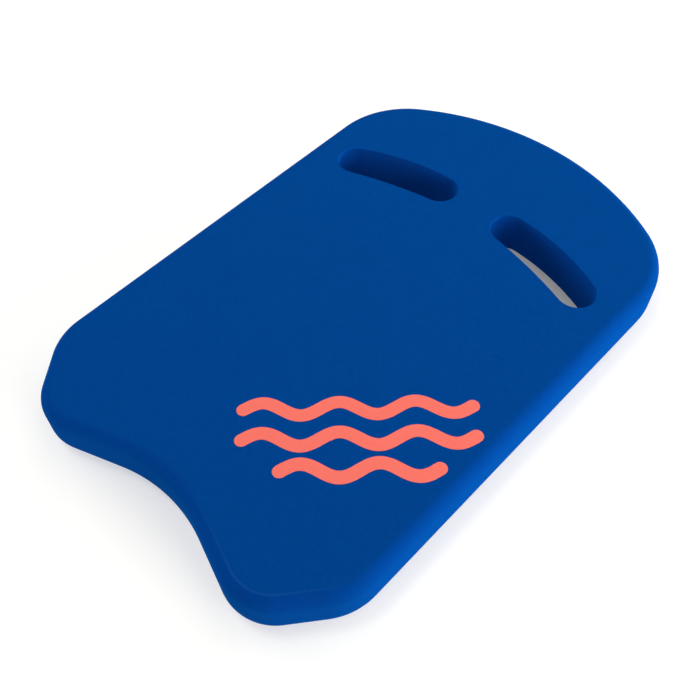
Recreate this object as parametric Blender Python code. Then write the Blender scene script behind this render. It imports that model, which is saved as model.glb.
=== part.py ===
"""Kickboard float: a one-piece closed-cell foam board with two hand slots and a printed wave graphic.

The origin is the middle of the underside's bounding box. +Y runs to the rounded nose, +X to the right-hand
side of a swimmer holding the board by its slots, and +Z out of the printed face. The underside is at Z = 0.
"""

import math

import bmesh
import bpy
from mathutils import Matrix, Vector

# Driving dimensions, in metres.
LENGTH = 0.430
THICKNESS = 0.034
EDGE_RADIUS = 0.009  # the round along the top and the bottom rim
EDGE_STEPS = 3  # Blender's bevel resolution for that round
SAGITTA = 0.0001  # the most that a chord of an outline leaves its true arc
CLEARANCE = 0.0003  # between the board and the film that lies on it

# Corners of the right-hand half outline, from the nose to the tail notch: x, y and corner radius. A radius of
# None lets the arc run on to the mid line, where it meets the arc of the other half.
NOSE = (0.0570, LENGTH / 2, None)
SHOULDER = (0.1435, 0.1625, 0.070)
TAIL_CORNER = (0.1375, -0.1705, 0.046)
TAIL_TIP = (0.0950, -0.2212, 0.0355)
NOTCH = (0.0195, -0.1943, None)
HALF_OUTLINE = (NOSE, SHOULDER, TAIL_CORNER, TAIL_TIP, NOTCH)

# Right-hand slot: two round ends, joined by an arc on the nose side and by a flatter one on the tail side.
SLOT_INNER_END = Vector((0.0334, 0.1124))
SLOT_OUTER_END = Vector((0.1033, 0.0937))
SLOT_END_RADIUS = 0.0145
SLOT_NOSE_RADIUS = 0.184
SLOT_TAIL_RADIUS = 0.365
SLOT_CUTTER_OVERRUN = 0.005  # how far a cutter stands out of each face

# Printed graphic: rows of wavy ribbons with round ends.
PRINT_CENTRE = Vector((0.0710, -0.0955))
PRINT_ANGLE = math.radians(43.5)  # of the rows, from +X
PRINT_THICKNESS = 0.00025
RIBBON_WIDTH = 0.009
WAVELENGTH = 0.048
WAVE_HEIGHT = 0.0048  # from the row's middle line to a crest
POINTS_PER_WAVE = 16
# Each row's name, its offset across the rows and its number of waves.
PRINT_ROWS = (
    ("print_wave_front", 0.022, 3),
    ("print_wave_middle", 0.0, 3),
    ("print_wave_rear", -0.022, 2),
)

FOAM_BLUE = (0.003, 0.055, 0.270)
PRINT_CORAL = (0.90, 0.165, 0.125)


def clear_scene():
    """Remove every object of the file, and leave two empty collections."""
    for obj in list(bpy.data.objects):
        bpy.data.objects.remove(obj, do_unlink=True)
    made = []
    for name in ("kickboard_float", "cutters"):
        collection = bpy.data.collections.new(name)
        bpy.context.scene.collection.children.link(collection)
        made.append(collection)
    return made


def material(name, colour, roughness):
    """A plain non-metallic material."""
    made = bpy.data.materials.new(name)
    made.use_nodes = True
    shader = made.node_tree.nodes["Principled BSDF"]
    shader.inputs["Base Color"].default_value = (*colour, 1.0)
    shader.inputs["Roughness"].default_value = roughness
    shader.inputs["Metallic"].default_value = 0.0
    made.diffuse_color = (*colour, 1.0)
    return made


def arc(centre, radius, start, turn):
    """Points along an arc from the angle start, turning by turn."""
    step = 2 * math.acos(1 - SAGITTA / radius)
    count = math.ceil(abs(turn) / step)
    angles = [start + turn * i / count for i in range(count + 1)]
    return [centre + radius * Vector((math.cos(a), math.sin(a))) for a in angles]


def rounded_corner(before, corner, after, radius):
    """The arc that rounds the corner between two straight runs."""
    heading_in = (corner - before).normalized()
    heading_out = (after - corner).normalized()
    turn = math.atan2(heading_in.cross(heading_out), heading_in.dot(heading_out))
    if radius is None:
        radius = abs(corner.x) / math.tan(abs(turn) / 2)
    side = math.copysign(1.0, turn)
    start = corner - heading_in * radius * math.tan(abs(turn) / 2)
    centre = start + side * radius * Vector((-heading_in.y, heading_in.x))
    first = start - centre
    return arc(centre, radius, math.atan2(first.y, first.x), turn)


def board_outline():
    """The closed outline, clockwise from the middle of the nose, with nothing twice."""
    corners = [Vector((x, y)) for x, y, _ in HALF_OUTLINE]
    radii = [radius for _, _, radius in HALF_OUTLINE]
    start = Vector((0.0, corners[0].y))
    end = Vector((0.0, corners[-1].y))
    stops = [start, *corners, end]
    right = []
    for before, corner, after, radius in zip(stops, corners, stops[2:], radii):
        right += rounded_corner(before, corner, after, radius)
    left = [Vector((-point.x, point.y)) for point in reversed(right[1:-1])]
    return right + left


def arc_centre(first, second, distance):
    """The point to the right of a chord that is equally far from its two ends."""
    chord = second - first
    depth = math.sqrt(distance**2 - chord.length_squared / 4)
    return (first + second) / 2 + depth * Vector((chord.y, -chord.x)).normalized()


def slot_outline(side):
    """The outline of the slot on the side +1 or -1."""
    inner, outer = SLOT_INNER_END, SLOT_OUTER_END
    nose_centre = arc_centre(inner, outer, SLOT_NOSE_RADIUS - SLOT_END_RADIUS)
    tail_centre = arc_centre(inner, outer, SLOT_TAIL_RADIUS + SLOT_END_RADIUS)
    spokes = (inner - nose_centre, outer - nose_centre, tail_centre - outer, tail_centre - inner)
    nose_start, nose_end, tail_start, tail_end = (math.atan2(spoke.y, spoke.x) for spoke in spokes)
    points = arc(nose_centre, SLOT_NOSE_RADIUS, nose_start, nose_end - nose_start)
    points += arc(outer, SLOT_END_RADIUS, nose_end, tail_start - nose_end)[1:]
    points += arc(tail_centre, SLOT_TAIL_RADIUS, tail_start + math.pi, tail_end - tail_start)[1:]
    points += arc(inner, SLOT_END_RADIUS, tail_end, nose_start - tail_end - 2 * math.pi)[1:-1]
    return [Vector((side * point.x, point.y)) for point in points]


def ribbon_outline(waves):
    """A wavy ribbon with round ends, its middle line along X and centred on the origin."""
    count = waves * POINTS_PER_WAVE
    length = waves * WAVELENGTH
    half = RIBBON_WIDTH / 2
    line = []
    for i in range(count + 1):
        x = length * (i / count - 0.5)
        phase = 2 * math.pi * (x + length / 2) / WAVELENGTH
        slope = WAVE_HEIGHT * 2 * math.pi / WAVELENGTH * math.cos(phase)
        line.append((Vector((x, WAVE_HEIGHT * math.sin(phase))), Vector((-slope, 1.0)).normalized()))
    upper = [point + half * normal for point, normal in line]
    lower = [point - half * normal for point, normal in reversed(line)]
    (first, first_normal), (last, last_normal) = line[0], line[-1]
    last_angle = math.atan2(last_normal.y, last_normal.x)
    first_angle = math.atan2(-first_normal.y, -first_normal.x)
    right_cap = arc(last, half, last_angle, -math.pi)[1:-1]
    left_cap = arc(first, half, first_angle, -math.pi)[1:-1]
    return upper + right_cap + lower + left_cap


def plate(name, outline, low, high, edge_radius=0.0):
    """A closed plate between two heights, made from a filled 2D curve with an optional round rim."""
    curve = bpy.data.curves.new(name, "CURVE")
    curve.dimensions = "2D"
    curve.fill_mode = "BOTH"
    curve.extrude = (high - low) / 2 - edge_radius
    curve.bevel_depth = edge_radius
    curve.bevel_resolution = EDGE_STEPS
    curve.offset = -edge_radius
    spline = curve.splines.new("POLY")
    spline.points.add(len(outline) - 1)
    for knot, point in zip(spline.points, outline):
        knot.co = (point.x, point.y, 0.0, 1.0)
    spline.use_cyclic_u = True
    drawn = bpy.data.objects.new(name + "_curve", curve)
    drawn.location.z = (low + high) / 2
    bpy.context.scene.collection.objects.link(drawn)
    bpy.context.view_layer.update()

    depsgraph = bpy.context.evaluated_depsgraph_get()
    mesh = bpy.data.meshes.new_from_object(drawn.evaluated_get(depsgraph))
    mesh.name = name
    made = bpy.data.objects.new(name, mesh)
    made.matrix_world = drawn.matrix_world.copy()
    bpy.data.objects.remove(drawn, do_unlink=True)
    bpy.data.curves.remove(curve)

    welded = bmesh.new()
    welded.from_mesh(mesh)
    bmesh.ops.remove_doubles(welded, verts=welded.verts, dist=0.00002)
    bmesh.ops.recalc_face_normals(welded, faces=welded.faces)
    welded.to_mesh(mesh)
    welded.free()
    return made


def foam_board(parts, cutters):
    """The moulded board, with both hand slots cut straight through it."""
    board = plate("foam_board", board_outline(), 0.0, THICKNESS, EDGE_RADIUS)
    parts.objects.link(board)
    board.data.materials.append(material("eva_foam_blue", FOAM_BLUE, 0.55))
    for side, word in ((-1, "left"), (1, "right")):
        low = -SLOT_CUTTER_OVERRUN
        high = THICKNESS + SLOT_CUTTER_OVERRUN
        cutter = plate("hand_slot_cutter_" + word, slot_outline(side), low, high)
        cutter.hide_render = True
        cutter.display_type = "WIRE"
        cutters.objects.link(cutter)
        cut = board.modifiers.new("hand_slot_" + word, "BOOLEAN")
        cut.operation = "DIFFERENCE"
        cut.solver = "EXACT"
        cut.object = cutter
    board.data.shade_smooth()
    board.data.set_sharp_from_angle(angle=math.radians(40.0))


def printed_waves(parts):
    """Three separate films of ink on the top face, lying side by side."""
    coral = material("print_ink_coral", PRINT_CORAL, 0.45)
    low = THICKNESS + CLEARANCE
    for name, offset, waves in PRINT_ROWS:
        ribbon = plate(name, ribbon_outline(waves), low, low + PRINT_THICKNESS)
        across = Matrix.Rotation(PRINT_ANGLE, 2) @ Vector((0.0, offset))
        place = PRINT_CENTRE + across
        ribbon.location = (place.x, place.y, ribbon.location.z)
        ribbon.rotation_euler.z = PRINT_ANGLE
        parts.objects.link(ribbon)
        ribbon.data.materials.append(coral)


def main():
    parts, cutters = clear_scene()
    foam_board(parts, cutters)
    printed_waves(parts)


main()
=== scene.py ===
"""The looks of a kickboard float: a one-piece blue foam board with a printed coral wave graphic.

Metres, +Z up. The board lies on its underside at Z = 0, +Y runs to the rounded nose, and the graphic is on
top.
"""

import math

import bmesh
import bpy
from mathutils import Matrix, Vector, noise
from mathutils.geometry import delaunay_2d_cdt
from mathutils.kdtree import KDTree


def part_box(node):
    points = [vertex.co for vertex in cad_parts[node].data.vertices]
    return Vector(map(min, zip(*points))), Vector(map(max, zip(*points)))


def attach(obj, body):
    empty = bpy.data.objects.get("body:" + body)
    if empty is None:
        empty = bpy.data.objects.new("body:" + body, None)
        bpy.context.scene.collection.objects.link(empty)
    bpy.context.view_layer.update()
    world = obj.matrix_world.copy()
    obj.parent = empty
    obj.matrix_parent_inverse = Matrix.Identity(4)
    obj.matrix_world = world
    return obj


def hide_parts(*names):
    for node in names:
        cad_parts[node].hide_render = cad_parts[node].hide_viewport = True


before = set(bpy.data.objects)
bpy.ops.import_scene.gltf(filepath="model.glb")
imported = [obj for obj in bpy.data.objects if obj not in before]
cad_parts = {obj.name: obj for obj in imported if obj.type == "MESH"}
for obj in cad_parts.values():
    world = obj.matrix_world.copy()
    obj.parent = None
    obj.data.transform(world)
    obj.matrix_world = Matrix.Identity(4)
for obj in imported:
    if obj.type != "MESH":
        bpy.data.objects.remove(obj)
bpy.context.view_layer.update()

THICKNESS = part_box("foam_board")[1].z
LENGTH = 0.430
EDGE_RADIUS = 0.009  # the round along the top and the bottom rim
SLOT_EDGE_RADIUS = 0.0004
FLAT_MARGIN = 0.0025  # from where a round begins to the first row of the flat face's net
FACE_RELIEF = 0.00008  # height of the faint waviness of the top face
FACE_RELIEF_SIZE = 0.045

# Mesh fineness.
RIM_SPACING = 0.0025
SLOT_SPACING = 0.0016
NET_SPACING = 0.005
ROUND_STEPS = 12
SLOT_ROUND_STEPS = 4
WALL_STEPS = 4
CUT_ONSET = 2.5  # how fast a round turns from skin to cut foam
NET_CLEARANCE = 0.6  # least distance of the net from an edge, in net spacings
MERGE_DISTANCE = 1e-7

# Corners of the right-hand half outline, from the nose to the tail notch: x, y and corner radius. A radius of
# None lets the arc run on to the mid line, where it meets the arc of the other half.
NOSE = (0.0570, LENGTH / 2, None)
SHOULDER = (0.1435, 0.1625, 0.070)
TAIL_CORNER = (0.1375, -0.1705, 0.046)
TAIL_TIP = (0.0950, -0.2212, 0.0355)
NOTCH = (0.0195, -0.1943, None)
HALF_OUTLINE = (NOSE, SHOULDER, TAIL_CORNER, TAIL_TIP, NOTCH)
ARC_STEP = math.radians(1.0)

# Right-hand slot: two round ends, joined by an arc on the nose side and by a flatter one on the tail side.
SLOT_INNER_END = Vector((0.0334, 0.1124))
SLOT_OUTER_END = Vector((0.1033, 0.0937))
SLOT_END_RADIUS = 0.0145
SLOT_NOSE_RADIUS = 0.184
SLOT_TAIL_RADIUS = 0.365

# Printed graphic: rows of wavy ribbons with round ends.
PRINT_CENTRE = Vector((0.0710, -0.0955))
PRINT_ANGLE = math.radians(43.5)  # of the rows, from +X
RIBBON_WIDTH = 0.009
WAVELENGTH = 0.048
WAVE_HEIGHT = 0.0048  # from the row's middle line to a crest
POINTS_PER_WAVE = 48
INK_THICKNESS = 0.00012
INK_LIFT = 0.00002  # between the foam and the film's underside
INK_EDGE = 0.00025  # the width over which the film's edge slopes down
INK_SPACING = 0.0010
# Rings of a film from its top to its underside: distance inwards in edge widths, and height in film
# thicknesses.
FILM_RINGS = ((3.0, 1.0), (1.0, 1.0), (1 / 3, 0.75), (0.0, 0.3), (0.0, 0.0), (3.0, 0.0))
# Each row's piece, the CAD node it stands for, its offset across the rows and its number of waves.
PRINT_ROWS = (
    ("ink_wave_front", "print_wave_front", 0.022, 3),
    ("ink_wave_middle", "print_wave_middle", 0.0, 3),
    ("ink_wave_rear", "print_wave_rear", -0.022, 2),
)

# Painted highlight: a pale line on the tip of the tail that stands for a light's reflection. Where it lies
# between flat (0) and cut away (1), its place and its reach.
PAINTED_HIGHLIGHT_CUT = 0.34
PAINTED_HIGHLIGHT_HALF_WIDTH = 0.28
PAINTED_HIGHLIGHT_PLACE = (0.088, -0.212)
PAINTED_HIGHLIGHT_REACH = 0.075

# Linear colours.
FOAM_BLUE = (0.0006, 0.0505, 0.2480)
FOAM_BLUE_DEEP = (0.0005, 0.0460, 0.2310)
FOAM_BLUE_SANDED = (0.0008, 0.0450, 0.2700)
FOAM_BLUE_DIE_CUT = (0.0010, 0.0530, 0.2920)  # on the walls of the hand slots
FOAM_SHEEN = (0.02, 0.55, 1.0)
INK_CORAL = (0.90, 0.172, 0.127)
INK_CORAL_DEEP = (0.86, 0.150, 0.110)
# Painted highlight: the paler blue of the line on the tail tip, standing for a light's reflection.
FOAM_PAINTED_HIGHLIGHT = (0.0060, 0.0640, 0.2800)

# Unevenness of the foam and the ink. Sizes are those of the lumps and heights those of the bumps, in metres.
# A range is what noise from 0 to 1 is stretched to.
FINE_OCTAVES = 3.0
SOFT_OCTAVES = 2.0
MOTTLING_SIZE = 0.035
MOTTLING_RANGE = (-0.2, 0.7)
FLECK_SIZE = 0.0022
FLECK_RANGE = (-1.5, 2.0)
CUT_GRAIN_SIZE = 0.0007
FOAM_ROUGHNESS = (0.37, 0.45)
FOAM_ROUGHNESS_SIZE = 0.012
FOAM_SHEEN_WEIGHT = 0.08
FOAM_SHEEN_ROUGHNESS = 0.5
SKIN_SIZE = 0.003
SKIN_HEIGHT = 0.00010
CELL_SIZE = 0.0005
CELL_HEIGHT = 0.00005
ROUGH_CUT_SIZE = 0.0009
ROUGH_CUT_HEIGHT = 0.00018
INK_COVERAGE_SIZE = 0.0012
INK_COVERAGE_RANGE = (0.2, 1.2)
INK_ROUGHNESS = (0.42, 0.50)
INK_ROUGHNESS_SIZE = 0.006
INK_GLOSS = 0.10
INK_PORE_HEIGHT = 0.00003

FLOOR_SIZE = 60.0
FLOOR_DROP = 0.0002  # how far it lies below the board
FLOOR_ROUGHNESS = 0.9
FLOOR_WHITE = (0.57, 0.565, 0.505)
FLOOR_GLOW = 0.51  # stray light of the room
FLOOR_GLOW_WHITE = (1.0, 1.0, 1.05)
# Under the hand slots the glow fades out to a rest, a painted shadow of the board. Both distances count in
# the oval's half widths.
SHADED_FLOOR_GLOW = 0.08
SHADED_FLOOR_CENTRE = (0.0, 0.09)
SHADED_FLOOR_OVAL = (0.17, 0.13)
SHADED_FLOOR_START = 0.65
SHADED_FLOOR_END = 0.85

# Camera: the place that the lens looks from, and the way it looks.
CAMERA_PLACE = Vector((0.2468, -0.2902, 0.4726))
CAMERA_AZIMUTH = math.radians(43.13)
CAMERA_ELEVATION = math.radians(53.05)
CAMERA_ROLL = math.radians(-0.73)
CAMERA_LENS = 42.716  # mm
CAMERA_SENSOR = 36.0  # mm
CAMERA_CLIP_START = 0.01

# Soft boxes: name, azimuth and elevation of the side they shine from, distance, width, height and power in
# watts.
SOFT_BOXES = (
    ("key_box", 311.0, 73.0, 1.5, 0.35, 0.35, 4.2),
    ("overhead_left_box", 300.0, 65.0, 1.5, 0.9, 0.9, 1.4),
    ("overhead_nose_box", 155.0, 60.0, 0.95, 0.9, 0.9, 3.1),
    ("nose_left_box", 225.0, 38.0, 1.5, 0.9, 0.9, 4.0),
    ("tail_box", 0.0, 38.0, 1.5, 0.9, 0.9, 2.0),
    ("tail_strip", 350.0, 9.0, 1.5, 1.2, 0.3, 2.0),
    ("left_strip", 275.0, 18.0, 1.5, 0.9, 0.5, 9.4),
    ("right_strip", 90.0, 18.0, 1.5, 0.9, 0.5, 12.4),
    ("nose_right_strip", 132.0, 6.0, 1.5, 0.9, 0.28, 16.5),
    ("nose_strip", 150.0, 18.0, 1.5, 0.9, 0.5, 2.8),
)
# The surround: its strength at the horizon and overhead, and the height in the sky from which it is even.
HORIZON_STRENGTH = 0.78
OVERHEAD_STRENGTH = 0.05
HORIZON_TOP = 0.5


# ---------------------------------------------------------------- outlines


def arc(centre, radius, start, turn):
    """Points along an arc from the angle start, turning by turn."""
    count = math.ceil(abs(turn) / ARC_STEP)
    angles = [start + turn * i / count for i in range(count + 1)]
    return [centre + radius * Vector((math.cos(a), math.sin(a))) for a in angles]


def rounded_corner(before, corner, after, radius):
    """The arc that rounds the corner between two straight runs."""
    heading_in = (corner - before).normalized()
    heading_out = (after - corner).normalized()
    turn = math.atan2(heading_in.cross(heading_out), heading_in.dot(heading_out))
    if radius is None:
        radius = abs(corner.x) / math.tan(abs(turn) / 2)
    side = math.copysign(1.0, turn)
    start = corner - heading_in * radius * math.tan(abs(turn) / 2)
    centre = start + side * radius * Vector((-heading_in.y, heading_in.x))
    first = start - centre
    return arc(centre, radius, math.atan2(first.y, first.x), turn)


def board_outline():
    """The closed outline from the middle of the nose, with nothing twice."""
    corners = [Vector((x, y)) for x, y, _ in HALF_OUTLINE]
    radii = [radius for _, _, radius in HALF_OUTLINE]
    start = Vector((0.0, corners[0].y))
    end = Vector((0.0, corners[-1].y))
    stops = [start, *corners, end]
    right = []
    for before, corner, after, radius in zip(stops, corners, stops[2:], radii):
        right += rounded_corner(before, corner, after, radius)
    left = [Vector((-point.x, point.y)) for point in reversed(right[1:-1])]
    return right + left


def arc_centre(first, second, distance):
    """The point to the right of a chord that is equally far from its two ends."""
    chord = second - first
    depth = math.sqrt(distance**2 - chord.length_squared / 4)
    return (first + second) / 2 + depth * Vector((chord.y, -chord.x)).normalized()


def slot_outline(side):
    """The outline of the slot on the side +1 or -1."""
    inner, outer = SLOT_INNER_END, SLOT_OUTER_END
    nose_centre = arc_centre(inner, outer, SLOT_NOSE_RADIUS - SLOT_END_RADIUS)
    tail_centre = arc_centre(inner, outer, SLOT_TAIL_RADIUS + SLOT_END_RADIUS)
    spokes = (inner - nose_centre, outer - nose_centre, tail_centre - outer, tail_centre - inner)
    nose_start, nose_end, tail_start, tail_end = (math.atan2(spoke.y, spoke.x) for spoke in spokes)
    points = arc(nose_centre, SLOT_NOSE_RADIUS, nose_start, nose_end - nose_start)
    points += arc(outer, SLOT_END_RADIUS, nose_end, tail_start - nose_end)[1:]
    points += arc(tail_centre, SLOT_TAIL_RADIUS, tail_start + math.pi, tail_end - tail_start)[1:]
    points += arc(inner, SLOT_END_RADIUS, tail_end, nose_start - tail_end - 2 * math.pi)[1:-1]
    return [Vector((side * point.x, point.y)) for point in points]


def ribbon_outline(waves):
    """A wavy ribbon with round ends, its middle line along X and centred on the origin."""
    count = waves * POINTS_PER_WAVE
    length = waves * WAVELENGTH
    half = RIBBON_WIDTH / 2
    line = []
    for i in range(count + 1):
        x = length * (i / count - 0.5)
        phase = 2 * math.pi * (x + length / 2) / WAVELENGTH
        slope = WAVE_HEIGHT * 2 * math.pi / WAVELENGTH * math.cos(phase)
        line.append((Vector((x, WAVE_HEIGHT * math.sin(phase))), Vector((-slope, 1.0)).normalized()))
    upper = [point + half * normal for point, normal in line]
    lower = [point - half * normal for point, normal in reversed(line)]
    (first, first_normal), (last, last_normal) = line[0], line[-1]
    last_angle = math.atan2(last_normal.y, last_normal.x)
    first_angle = math.atan2(-first_normal.y, -first_normal.x)
    right_cap = arc(last, half, last_angle, -math.pi)[1:-1]
    left_cap = arc(first, half, first_angle, -math.pi)[1:-1]
    return upper + right_cap + lower + left_cap


def evenly_spaced(outline, spacing):
    """The closed outline again, in an even number of steps of about the given spacing."""
    loop = outline + outline[:1]
    lengths = [(b - a).length for a, b in zip(loop, loop[1:])]
    count = 2 * round(sum(lengths) / spacing / 2)
    step = sum(lengths) / count
    points = []
    passed = 0.0
    for start, end, length in zip(loop, loop[1:], lengths):
        while len(points) < count and len(points) * step < passed + length:
            points.append(start.lerp(end, (len(points) * step - passed) / length))
        passed += length
    return points


def signed_area(points):
    """Positive for an outline that runs counter-clockwise."""
    return sum(a.cross(b) for a, b in zip(points, points[1:] + points[:1])) / 2


def rim(outline, spacing, solid_inside=True):
    """Evenly spaced points of an outline, each with its unit vector into the solid."""
    points = evenly_spaced(outline, spacing)
    turn = math.copysign(1.0, signed_area(points)) * (1.0 if solid_inside else -1.0)
    inwards = []
    for before, after in zip(points[-1:] + points[:-1], points[1:] + points[:1]):
        heading = (after - before).normalized()
        inwards.append(turn * Vector((-heading.y, heading.x)))
    return list(zip(points, inwards))


# ---------------------------------------------------------------- meshes


def rounded_profile(radius, steps, margin):
    """Stations down a rim with a round at its top and bottom: distance into the solid, height and cut.

    Cut is 0 on the flat faces, which keep the foam's skin, and 1 where the skin is cut or sanded away.
    """
    quarter = [math.pi / 2 * i / steps for i in range(steps + 1)]
    low, high = radius, THICKNESS - radius
    stations = [(radius + margin, THICKNESS, 0.0), (radius + margin / 2, THICKNESS, 0.0)]
    for a in quarter:
        cut = min(1.0, CUT_ONSET * math.sin(a))
        stations.append((radius * (1 - math.sin(a)), high + radius * math.cos(a), cut))
    for i in range(1, WALL_STEPS):
        stations.append((0.0, high + (low - high) * i / WALL_STEPS, 1.0))
    for a in reversed(quarter):
        cut = min(1.0, CUT_ONSET * math.sin(a))
        stations.append((radius * (1 - math.sin(a)), low - radius * math.cos(a), cut))
    stations += [(radius + margin / 2, 0.0, 0.0), (radius + margin, 0.0, 0.0)]
    return stations


def loft(bm, points, stations, cut_layers):
    """Rings of quads that carry the stations round a rim, with the cut written to each of the given layers.

    It returns the first and the last ring.
    """
    rings = []
    for depth, height, cut in stations:
        ring = []
        for point, inward in points:
            place = point + depth * inward
            vert = bm.verts.new((place.x, place.y, height))
            for layer in cut_layers:
                vert[layer] = cut
            ring.append(vert)
        rings.append(ring)
    count = len(points)
    for upper, lower in zip(rings, rings[1:]):
        for i in range(count):
            j = (i + 1) % count
            bm.faces.new((upper[i], upper[j], lower[j], lower[i]))
    return rings[0], rings[-1]


def inside(place, ring):
    """Whether a place lies inside a ring of points, by counting the edges that cross a line to its right."""
    crossings = 0
    for a, b in zip(ring, ring[1:] + ring[:1]):
        if (a.y > place.y) != (b.y > place.y):
            crossings += a.x + (place.y - a.y) / (b.y - a.y) * (b.x - a.x) > place.x
    return crossings % 2 == 1


def net(outer, holes, spacing):
    """Points of a triangular net that lie inside a ring, outside its holes and clear of all their edges."""
    edge_points = [place for ring in (outer, *holes) for place in ring]
    tree = KDTree(len(edge_points))
    for i, place in enumerate(edge_points):
        tree.insert(place.to_3d(), i)
    tree.balance()
    low_x, high_x = min(p.x for p in outer), max(p.x for p in outer)
    low_y, high_y = min(p.y for p in outer), max(p.y for p in outer)
    row_height = spacing * math.sqrt(3) / 2
    places = []
    for row in range(math.ceil((high_y - low_y) / row_height)):
        for column in range(math.ceil((high_x - low_x) / spacing)):
            place = Vector((low_x + spacing * (column + row % 2 / 2), low_y + row_height * row))
            clear = tree.find(place.to_3d())[2] > NET_CLEARANCE * spacing
            if clear and inside(place, outer) and not any(inside(place, hole) for hole in holes):
                places.append(place)
    return places


def fill_face(bm, outer, holes, spacing):
    """Close a flat face between its outer ring and its holes with an even net of triangles."""
    flat_rings = [[vert.co.xy for vert in ring] for ring in (outer, *holes)]
    height = outer[0].co.z
    corners = []
    edges = []
    for ring in (outer, *holes):
        first = len(corners)
        edges += [(first + i, first + (i + 1) % len(ring)) for i in range(len(ring))]
        corners += ring
    for place in net(flat_rings[0], flat_rings[1:], spacing):
        corners.append(bm.verts.new((place.x, place.y, height)))
    places = [vert.co.xy for vert in corners]
    _, _, triangles, origins, _, _ = delaunay_2d_cdt(places, edges, [], 1, MERGE_DISTANCE)
    for triangle in triangles:
        trio = [corners[origins[i][0]] for i in triangle]
        middle = sum((vert.co.xy for vert in trio), Vector((0.0, 0.0))) / 3
        if not any(inside(middle, hole) for hole in flat_rings[1:]):
            bm.faces.new(trio)


def relief(place):
    """The faint waviness of the top face at a place, in metres."""
    return FACE_RELIEF * noise.noise(Vector((place.x, place.y, 0.0)) / FACE_RELIEF_SIZE)


def smooth_object(name, bm, material):
    """A smooth shaded object made from a finished bmesh."""
    bmesh.ops.recalc_face_normals(bm, faces=bm.faces)
    mesh = bpy.data.meshes.new(name)
    bm.to_mesh(mesh)
    bm.free()
    mesh.shade_smooth()
    mesh.materials.append(material)
    made = bpy.data.objects.new(name, mesh)
    bpy.context.scene.collection.objects.link(made)
    return made


def foam_board(material):
    """The board: rounded rims, softened slot mouths and a faintly wavy top face."""
    bm = bmesh.new()
    cut_layer = bm.verts.layers.float.new("cut")
    die_cut_layer = bm.verts.layers.float.new("die_cut")
    edge = rounded_profile(EDGE_RADIUS, ROUND_STEPS, FLAT_MARGIN)
    outer_top, outer_bottom = loft(bm, rim(board_outline(), RIM_SPACING), edge, [cut_layer])
    mouth = rounded_profile(SLOT_EDGE_RADIUS, SLOT_ROUND_STEPS, FLAT_MARGIN)
    tops = []
    bottoms = []
    for side in (-1, 1):
        slot_rim = rim(slot_outline(side), SLOT_SPACING, solid_inside=False)
        top, bottom = loft(bm, slot_rim, mouth, [cut_layer, die_cut_layer])
        tops.append(top)
        bottoms.append(bottom)
    fill_face(bm, outer_top, tops, NET_SPACING)
    fill_face(bm, outer_bottom, bottoms, NET_SPACING)
    for vert in bm.verts:
        vert.co.z += relief(vert.co) * vert.co.z / THICKNESS
    return smooth_object("foam_board_body", bm, material)


def ink_wave(name, offset, waves, material):
    """One printed ribbon: a thin film with sloping edges that follows the foam under it."""
    bm = bmesh.new()
    points = rim(ribbon_outline(waves), INK_SPACING)
    film = [(depth * INK_EDGE, height * INK_THICKNESS, 0.0) for depth, height in FILM_RINGS]
    top, bottom = loft(bm, points, film, [])
    fill_face(bm, top, [], 2 * INK_SPACING)
    fill_face(bm, bottom, [], 2 * INK_SPACING)
    turn = Matrix.Rotation(PRINT_ANGLE, 2)
    centre = PRINT_CENTRE + turn @ Vector((0.0, offset))
    for vert in bm.verts:
        place = centre + turn @ vert.co.xy
        height = THICKNESS + relief(place) + INK_LIFT + vert.co.z
        vert.co = (place.x, place.y, height)
    return smooth_object(name, bm, material)


# ---------------------------------------------------------------- materials


def blank_material(name):
    """A node material, its tree and its one shader."""
    made = bpy.data.materials.new(name)
    made.use_nodes = True
    tree = made.node_tree
    shader = tree.nodes["Principled BSDF"]
    return made, tree, shader


def add(tree, kind, **inputs):
    """A node of a kind, with the named inputs set, or linked where a socket is given."""
    made = tree.nodes.new(kind)
    for name, value in inputs.items():
        socket = made.inputs[name.replace("_", " ")]
        if isinstance(value, bpy.types.NodeSocket):
            tree.links.new(value, socket)
        else:
            socket.default_value = value
    return made


def object_place(tree):
    """The shaded point in the object's own coordinates."""
    return tree.nodes.new("ShaderNodeTexCoord").outputs["Object"]


def field(tree, size, detail):
    """Soft noise from 0 to 1 whose lumps are about size metres across."""
    texture = add(tree, "ShaderNodeTexNoise", Vector=object_place(tree), Scale=1 / size, Detail=detail)
    return texture.outputs["Fac"]


def cells(tree, size):
    """Distance from the middle of the nearest foam cell, for cells about size metres across."""
    texture = add(tree, "ShaderNodeTexVoronoi", Vector=object_place(tree), Scale=1 / size)
    return texture.outputs["Distance"]


def attribute(tree, name):
    """The value of a mesh attribute."""
    made = tree.nodes.new("ShaderNodeAttribute")
    made.attribute_name = name
    return made.outputs["Fac"]


def ranged(tree, value, low, high, start=0.0, end=1.0):
    """A value from start to end mapped onto low to high, and held there beyond both."""
    made = add(tree, "ShaderNodeMapRange", Value=value)
    made.inputs["From Min"].default_value = start
    made.inputs["From Max"].default_value = end
    made.inputs["To Min"].default_value = low
    made.inputs["To Max"].default_value = high
    return made.outputs["Result"]


def calculated(tree, operation, first, second):
    """The result of a maths node on two values or sockets."""
    made = tree.nodes.new("ShaderNodeMath")
    made.operation = operation
    for socket, value in zip(made.inputs, (first, second)):
        if isinstance(value, bpy.types.NodeSocket):
            tree.links.new(value, socket)
        else:
            socket.default_value = value
    return made.outputs["Value"]


def vector_calculated(tree, operation, first, second):
    """A vector maths node of a socket and a constant vector."""
    made = tree.nodes.new("ShaderNodeVectorMath")
    made.operation = operation
    tree.links.new(first, made.inputs[0])
    made.inputs[1].default_value = second
    return made


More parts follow.
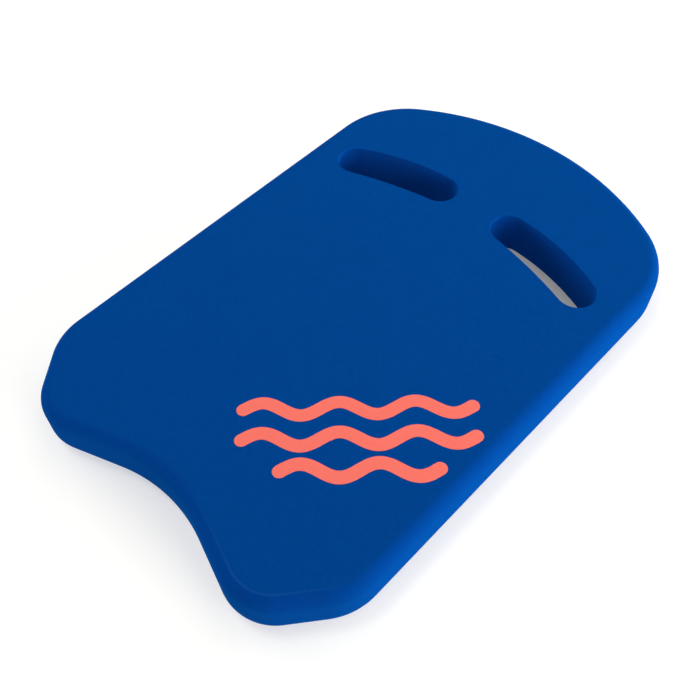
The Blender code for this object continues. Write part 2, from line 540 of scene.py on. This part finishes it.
def mixed(tree, amount, first, second):
    """Two colours mixed by an amount, each a colour or a socket."""
    made = tree.nodes.new("ShaderNodeMix")
    made.data_type = "RGBA"
    tree.links.new(amount, made.inputs[0])
    for socket, value in ((made.inputs[6], first), (made.inputs[7], second)):
        if isinstance(value, bpy.types.NodeSocket):
            tree.links.new(value, socket)
        else:
            socket.default_value = (*value, 1.0)
    return made.outputs[2]


def bumped(tree, height, distance, below=None):
    """A bump of a height field, on top of another bump's normal where one is given."""
    made = add(tree, "ShaderNodeBump", Height=height, Distance=distance, Strength=1.0)
    if below is not None:
        tree.links.new(below, made.inputs["Normal"])
    return made.outputs["Normal"]


def painted_highlight(tree, cut):
    """1 along a painted highlight line at the start of the round of one tail tip, and 0 elsewhere."""
    off_line = calculated(tree, "ABSOLUTE", calculated(tree, "SUBTRACT", cut, PAINTED_HIGHLIGHT_CUT), 0.0)
    line = ranged(tree, off_line, 1.0, 0.0, end=PAINTED_HIGHLIGHT_HALF_WIDTH)
    away = vector_calculated(tree, "DISTANCE", object_place(tree), (*PAINTED_HIGHLIGHT_PLACE, THICKNESS))
    near = ranged(tree, away.outputs["Value"], 1.0, 0.0, end=PAINTED_HIGHLIGHT_REACH)
    return calculated(tree, "MULTIPLY", line, near)


def eva_foam():
    """Closed-cell foam: fine cells, faint mottling and a painted highlight along one tail tip.

    It has a coarser grain where it was sanded, and a paler blue on the slots' walls.
    """
    made, tree, shader = blank_material("eva_foam_blue")
    cut = attribute(tree, "cut")
    mottling = ranged(tree, field(tree, MOTTLING_SIZE, FINE_OCTAVES), *MOTTLING_RANGE)
    flecks = ranged(tree, field(tree, FLECK_SIZE, FINE_OCTAVES), *FLECK_RANGE)
    shade = calculated(tree, "ADD", mottling, flecks)
    body = mixed(tree, shade, FOAM_BLUE_DEEP, FOAM_BLUE)
    sanded = calculated(tree, "MULTIPLY", cut, field(tree, CUT_GRAIN_SIZE, SOFT_OCTAVES))
    colour = mixed(tree, sanded, body, FOAM_BLUE_SANDED)
    colour = mixed(tree, attribute(tree, "die_cut"), colour, FOAM_BLUE_DIE_CUT)
    # Painted highlight: a pale line on the tail tip in place of a light's reflection.
    colour = mixed(tree, painted_highlight(tree, cut), colour, FOAM_PAINTED_HIGHLIGHT)
    tree.links.new(colour, shader.inputs["Base Color"])
    uneven = ranged(tree, field(tree, FOAM_ROUGHNESS_SIZE, SOFT_OCTAVES), *FOAM_ROUGHNESS)
    tree.links.new(uneven, shader.inputs["Roughness"])
    shader.inputs["Specular IOR Level"].default_value = 0.0
    shader.inputs["Sheen Weight"].default_value = FOAM_SHEEN_WEIGHT
    shader.inputs["Sheen Roughness"].default_value = FOAM_SHEEN_ROUGHNESS
    shader.inputs["Sheen Tint"].default_value = (*FOAM_SHEEN, 1.0)
    skin = bumped(tree, field(tree, SKIN_SIZE, FINE_OCTAVES), SKIN_HEIGHT)
    pores = bumped(tree, cells(tree, CELL_SIZE), CELL_HEIGHT, skin)
    rough_cut = calculated(tree, "MULTIPLY", cut, field(tree, ROUGH_CUT_SIZE, FINE_OCTAVES))
    tree.links.new(bumped(tree, rough_cut, ROUGH_CUT_HEIGHT, pores), shader.inputs["Normal"])
    return made


def print_ink():
    """Screen-printed ink: an even coral coat that sinks a little into the foam's cells."""
    made, tree, shader = blank_material("print_ink_coral")
    coverage = ranged(tree, field(tree, INK_COVERAGE_SIZE, FINE_OCTAVES), *INK_COVERAGE_RANGE)
    colour = mixed(tree, coverage, INK_CORAL_DEEP, INK_CORAL)
    tree.links.new(colour, shader.inputs["Base Color"])
    uneven = ranged(tree, field(tree, INK_ROUGHNESS_SIZE, SOFT_OCTAVES), *INK_ROUGHNESS)
    tree.links.new(uneven, shader.inputs["Roughness"])
    shader.inputs["Specular IOR Level"].default_value = INK_GLOSS
    pores = bumped(tree, cells(tree, CELL_SIZE), INK_PORE_HEIGHT)
    tree.links.new(pores, shader.inputs["Normal"])
    return made


def studio_floor():
    """A plain matt white floor. Its glow stands for stray light, and fades out under the slots as a painted
    shadow of the board.
    """
    made, tree, shader = blank_material("studio_floor")
    shader.inputs["Base Color"].default_value = (*FLOOR_WHITE, 1.0)
    shader.inputs["Roughness"].default_value = FLOOR_ROUGHNESS
    shader.inputs["Specular IOR Level"].default_value = 0.0
    shader.inputs["Emission Color"].default_value = (*FLOOR_GLOW_WHITE, 1.0)
    off_centre = vector_calculated(tree, "SUBTRACT", object_place(tree), (*SHADED_FLOOR_CENTRE, 0.0))
    in_ovals = vector_calculated(tree, "DIVIDE", off_centre.outputs["Vector"], (*SHADED_FLOOR_OVAL, 1.0))
    away = vector_calculated(tree, "LENGTH", in_ovals.outputs["Vector"], (0.0, 0.0, 0.0)).outputs["Value"]
    glow = ranged(tree, away, SHADED_FLOOR_GLOW, FLOOR_GLOW, SHADED_FLOOR_START, SHADED_FLOOR_END)
    tree.links.new(glow, shader.inputs["Emission Strength"])
    return made


# ---------------------------------------------------------------- studio


def floor():
    """A wide floor just under the board."""
    bm = bmesh.new()
    bmesh.ops.create_grid(bm, x_segments=1, y_segments=1, size=FLOOR_SIZE / 2)
    mesh = bpy.data.meshes.new("floor")
    bm.to_mesh(mesh)
    bm.free()
    made = bpy.data.objects.new("floor", mesh)
    made.location.z = -FLOOR_DROP
    mesh.materials.append(studio_floor())
    bpy.context.scene.collection.objects.link(made)
    return made


def camera():
    """The camera, placed by its own position, azimuth, elevation and roll."""
    data = bpy.data.cameras.new("camera")
    data.lens = CAMERA_LENS
    data.sensor_width = CAMERA_SENSOR
    data.clip_start = CAMERA_CLIP_START
    made = bpy.data.objects.new("camera", data)
    turn = Matrix.Rotation(CAMERA_AZIMUTH, 4, "Z")
    tilt = Matrix.Rotation(math.pi / 2 - CAMERA_ELEVATION, 4, "X")
    roll = Matrix.Rotation(CAMERA_ROLL, 4, "Z")
    made.matrix_world = Matrix.Translation(CAMERA_PLACE) @ turn @ tilt @ roll
    bpy.context.scene.collection.objects.link(made)
    bpy.context.scene.camera = made


def soft_box(name, azimuth, elevation, distance, width, height, power):
    """An area light that shines at the board from an azimuth, 0 at -Y and 90 at +X, and an elevation."""
    data = bpy.data.lights.new(name, "AREA")
    data.shape = "RECTANGLE"
    data.size = width
    data.size_y = height
    data.energy = power
    made = bpy.data.objects.new(name, data)
    turn = Matrix.Rotation(math.radians(azimuth), 4, "Z")
    tilt = Matrix.Rotation(math.pi / 2 - math.radians(elevation), 4, "X")
    made.matrix_world = turn @ tilt @ Matrix.Translation((0.0, 0.0, distance))
    bpy.context.scene.collection.objects.link(made)


def sky():
    """A surround that is pale at the horizon and dim overhead."""
    world = bpy.data.worlds.new("surround")
    world.use_nodes = True
    tree = world.node_tree
    background = tree.nodes["Background"]
    background.inputs["Color"].default_value = (1.0, 1.0, 1.0, 1.0)
    heading = tree.nodes.new("ShaderNodeTexCoord").outputs["Generated"]
    height = add(tree, "ShaderNodeSeparateXYZ", Vector=heading).outputs["Z"]
    strength = ranged(tree, height, HORIZON_STRENGTH, OVERHEAD_STRENGTH, end=HORIZON_TOP)
    tree.links.new(strength, background.inputs["Strength"])
    bpy.context.scene.world = world


def studio():
    """Camera, lights, surround and floor."""
    bpy.context.scene.view_settings.view_transform = "Standard"
    camera()
    for box in SOFT_BOXES:
        soft_box(*box)
    sky()
    floor()


def kickboard():
    """The board and its three printed waves, each riding on the one body."""
    board = foam_board(eva_foam())
    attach(board, "root")
    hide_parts("foam_board")
    coral = print_ink()
    for name, node, offset, waves in PRINT_ROWS:
        wave = ink_wave(name, offset, waves, coral)
        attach(wave, "root")
        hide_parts(node)


studio()
kickboard()
bpy.context.view_layer.update()
